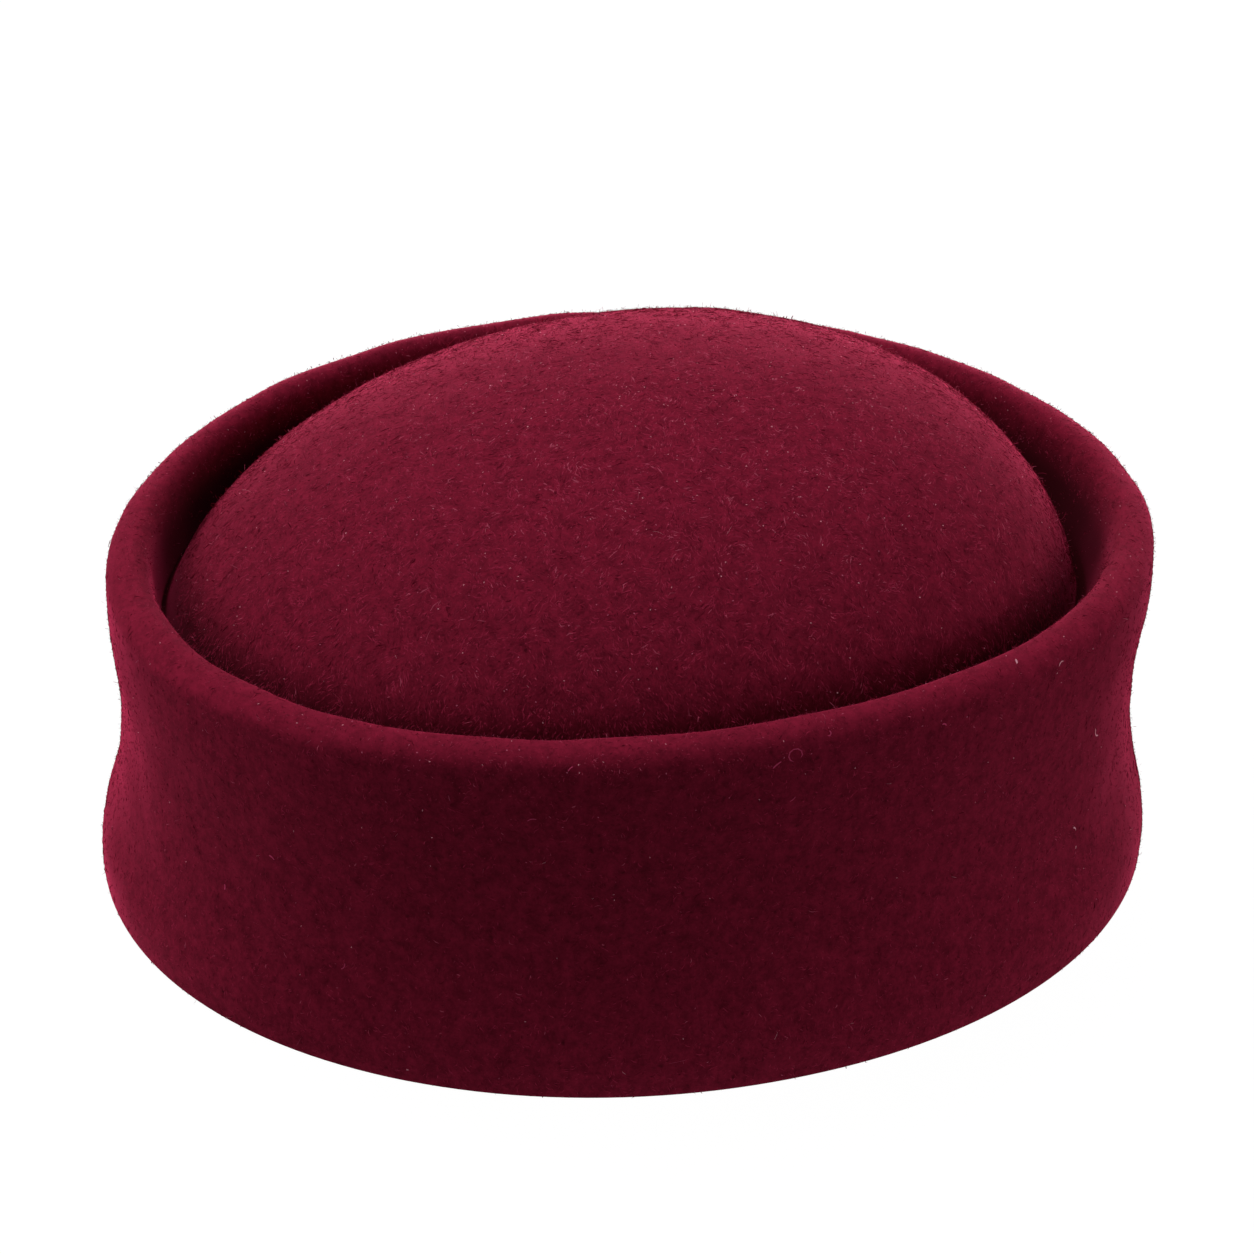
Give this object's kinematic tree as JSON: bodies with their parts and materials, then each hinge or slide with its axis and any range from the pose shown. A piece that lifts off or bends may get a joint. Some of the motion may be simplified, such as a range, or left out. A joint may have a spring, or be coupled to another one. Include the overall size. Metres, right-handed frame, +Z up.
{
  "type": "flight attendant hat",
  "caption": "Oval pillbox hat blocked from one piece of wool felt, with a waisted wall, a rolled rim, a narrow groove behind it and a domed crown.",
  "frame": {"origin": "under the middle of the hat, on the surface that its bottom edge rests on", "axes": "+Z up through the crown, +Y to the back of the head, +X to the wearer's left"},
  "size_m": [0.1788, 0.1983, 0.0939],
  "materials": {
    "wool_felt": "burgundy wool felt, matt, with a short nap"
  },
  "bodies": {
    "root": {"felt_cap": "wool_felt"}
  },
  "joints": []
}
